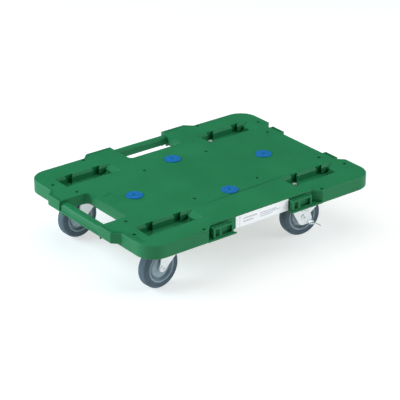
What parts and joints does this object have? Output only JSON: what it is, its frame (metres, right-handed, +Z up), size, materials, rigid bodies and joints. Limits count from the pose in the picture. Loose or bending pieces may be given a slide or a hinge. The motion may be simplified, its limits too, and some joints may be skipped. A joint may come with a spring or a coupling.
{
  "type": "platform trolley",
  "caption": "Low connectable platform trolley: a green moulded deck with hand openings, stacking pockets and blue anti-slip pads on grey swivel casters, with side brakes.",
  "frame": {"origin": "on the floor, under the middle of the overall box", "axes": "+X along the long side, away from the short projection; +Y towards the long side's projection; +Z up"},
  "size_m": [0.5, 0.375, 0.1098],
  "materials": {
    "green_plastic": "satin moulded, fine grain",
    "blue_rubber": "matt",
    "white_label": "smooth film",
    "zinc_steel": "bright zinc plate",
    "grey_rubber": "matt",
    "grey_plastic": "satin"
  },
  "bodies": {
    "platform": {"deck": "green_plastic", "label": "white_label", "antislip_pad_1": "blue_rubber", "antislip_pad_2": "blue_rubber", "antislip_pad_3": "blue_rubber", "antislip_pad_4": "blue_rubber", "front_left_mount_plate": "zinc_steel", "front_left_king_pin": "zinc_steel", "front_left_screw_1": "zinc_steel", "front_left_screw_2": "zinc_steel", "front_left_screw_3": "zinc_steel", "front_left_screw_4": "zinc_steel", "rear_left_mount_plate": "zinc_steel", "rear_left_king_pin": "zinc_steel", "rear_left_screw_1": "zinc_steel", "rear_left_screw_2": "zinc_steel", "rear_left_screw_3": "zinc_steel", "rear_left_screw_4": "zinc_steel", "front_right_mount_plate": "zinc_steel", "front_right_king_pin": "zinc_steel", "front_right_screw_1": "zinc_steel", "front_right_screw_2": "zinc_steel", "front_right_screw_3": "zinc_steel", "front_right_screw_4": "zinc_steel", "front_right_pocket_bolt": "zinc_steel", "rear_right_mount_plate": "zinc_steel", "rear_right_king_pin": "zinc_steel", "rear_right_screw_1": "zinc_steel", "rear_right_screw_2": "zinc_steel", "rear_right_screw_3": "zinc_steel", "rear_right_screw_4": "zinc_steel", "rear_right_pocket_bolt": "zinc_steel"},
    "front_left_swivel": {"front_left_race": "zinc_steel", "front_left_fork": "zinc_steel", "front_left_axle": "zinc_steel", "front_left_bush": "zinc_steel"},
    "front_left_wheel": {"front_left_hub": "grey_plastic", "front_left_tyre": "grey_rubber"},
    "rear_left_swivel": {"rear_left_race": "zinc_steel", "rear_left_fork": "zinc_steel", "rear_left_axle": "zinc_steel", "rear_left_bush": "zinc_steel"},
    "rear_left_wheel": {"rear_left_hub": "grey_plastic", "rear_left_tyre": "grey_rubber"},
    "front_right_swivel": {"front_right_race": "zinc_steel", "front_right_fork": "zinc_steel", "front_right_axle": "zinc_steel", "front_right_bush": "zinc_steel"},
    "front_right_wheel": {"front_right_hub": "grey_plastic", "front_right_tyre": "grey_rubber"},
    "front_right_brake": {"front_right_brake_lever": "zinc_steel"},
    "rear_right_swivel": {"rear_right_race": "zinc_steel", "rear_right_fork": "zinc_steel", "rear_right_axle": "zinc_steel", "rear_right_bush": "zinc_steel"},
    "rear_right_wheel": {"rear_right_hub": "grey_plastic", "rear_right_tyre": "grey_rubber"},
    "rear_right_brake": {"rear_right_brake_lever": "zinc_steel"}
  },
  "joints": [
    {"name": "front_left_swivel_turn", "type": "hinge", "parent": "platform", "child": "front_left_swivel", "pos_m": [-0.1493, -0.125, 0.085], "axis": [0, 0, 1], "continuous": true},
    {"name": "front_left_wheel_spin", "type": "hinge", "parent": "front_left_swivel", "child": "front_left_wheel", "pos_m": [-0.1759, -0.12733, 0.0375], "axis": [-0.0872, 0.9962, 0], "continuous": true},
    {"name": "rear_left_swivel_turn", "type": "hinge", "parent": "platform", "child": "rear_left_swivel", "pos_m": [-0.1493, 0.112, 0.085], "axis": [0, 0, 1], "continuous": true},
    {"name": "rear_left_wheel_spin", "type": "hinge", "parent": "rear_left_swivel", "child": "rear_left_wheel", "pos_m": [-0.17594, 0.11018, 0.0375], "axis": [-0.068, 0.9977, 0], "continuous": true},
    {"name": "front_right_swivel_turn", "type": "hinge", "parent": "platform", "child": "front_right_swivel", "pos_m": [0.1623, -0.125, 0.085], "axis": [0, 0, 1], "continuous": true},
    {"name": "front_right_wheel_spin", "type": "hinge", "parent": "front_right_swivel", "child": "front_right_wheel", "pos_m": [0.13583, -0.12151, 0.0375], "axis": [0.1305, 0.9914, 0], "continuous": true},
    {"name": "front_right_brake_press", "type": "hinge", "parent": "front_right_swivel", "child": "front_right_brake", "pos_m": [0.13583, -0.12151, 0.0375], "axis": [0.1305, 0.9914, 0], "range_deg": [0, 14]},
    {"name": "rear_right_swivel_turn", "type": "hinge", "parent": "platform", "child": "rear_right_swivel", "pos_m": [0.1623, 0.112, 0.085], "axis": [0, 0, 1], "continuous": true},
    {"name": "rear_right_wheel_spin", "type": "hinge", "parent": "rear_right_swivel", "child": "rear_right_wheel", "pos_m": [0.1357, 0.10967, 0.0375], "axis": [-0.0872, 0.9962, 0], "continuous": true},
    {"name": "rear_right_brake_press", "type": "hinge", "parent": "rear_right_swivel", "child": "rear_right_brake", "pos_m": [0.1357, 0.10967, 0.0375], "axis": [-0.0872, 0.9962, 0], "range_deg": [0, 14]}
  ]
}
